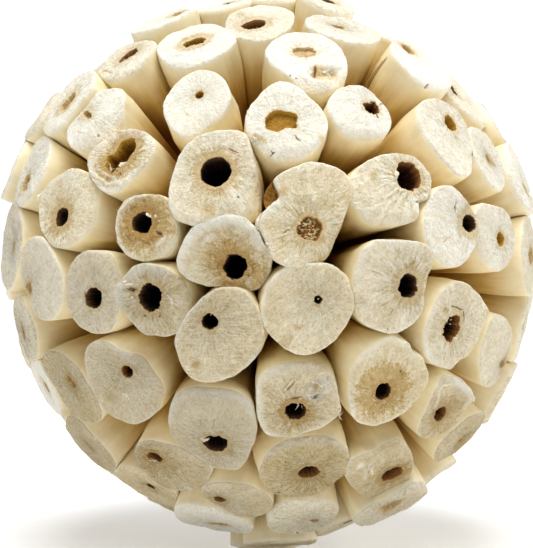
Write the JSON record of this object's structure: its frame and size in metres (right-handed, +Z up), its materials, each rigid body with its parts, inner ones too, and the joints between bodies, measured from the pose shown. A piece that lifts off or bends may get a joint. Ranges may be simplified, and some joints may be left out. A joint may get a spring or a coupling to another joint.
{
  "type": "wooden ball",
  "caption": "Decorative ball built of peeled pith-wood sticks that stand out from a hidden round core, their cut ends forming the round.",
  "frame": {"origin": "centre of the ball, which is the middle of the core", "axes": "+Z up from the level end that the ball rests on; -Y towards the side that the sticks are arranged to show, +X to its right"},
  "size_m": [0.1002, 0.1012, 0.105],
  "materials": {
    "pith_wood": "peeled and dried, bare, with fibrous cut ends",
    "core": "plain turned wood, hidden"
  },
  "bodies": {
    "root": {"core": "core", "top_stick_1": "pith_wood", "rear_top_sticks": "pith_wood", "top_stick_2": "pith_wood", "top_stick_3": "pith_wood", "high_stick_1": "pith_wood", "high_stick_2": "pith_wood", "high_stick_3": "pith_wood", "high_stick_4": "pith_wood", "upper_stick_1": "pith_wood", "upper_stick_2": "pith_wood", "upper_stick_3": "pith_wood", "upper_stick_4": "pith_wood", "upper_stick_5": "pith_wood", "upper_stick_6": "pith_wood", "rear_upper_sticks": "pith_wood", "middle_stick_1": "pith_wood", "middle_stick_2": "pith_wood", "middle_stick_3": "pith_wood", "middle_stick_4": "pith_wood", "middle_stick_5": "pith_wood", "middle_stick_6": "pith_wood", "middle_stick_7": "pith_wood", "middle_stick_8": "pith_wood", "waist_stick_1": "pith_wood", "waist_stick_2": "pith_wood", "waist_stick_3": "pith_wood", "waist_stick_4": "pith_wood", "waist_stick_5": "pith_wood", "waist_stick_6": "pith_wood", "waist_stick_7": "pith_wood", "waist_stick_8": "pith_wood", "waist_stick_9": "pith_wood", "waist_stick_10": "pith_wood", "waist_stick_11": "pith_wood", "lower_stick_1": "pith_wood", "lower_stick_2": "pith_wood", "lower_stick_3": "pith_wood", "lower_stick_4": "pith_wood", "lower_stick_5": "pith_wood", "lower_stick_6": "pith_wood", "lower_stick_7": "pith_wood", "lower_stick_8": "pith_wood", "lower_stick_9": "pith_wood", "lower_stick_10": "pith_wood", "low_stick_1": "pith_wood", "low_stick_2": "pith_wood", "low_stick_3": "pith_wood", "low_stick_4": "pith_wood", "low_stick_5": "pith_wood", "low_stick_6": "pith_wood", "bottom_stick_1": "pith_wood", "bottom_stick_2": "pith_wood", "bottom_stick_3": "pith_wood", "bottom_stick_4": "pith_wood", "rear_middle_sticks": "pith_wood", "rear_lower_sticks": "pith_wood", "rear_bottom_sticks": "pith_wood", "rest_stick": "pith_wood"}
  },
  "joints": []
}
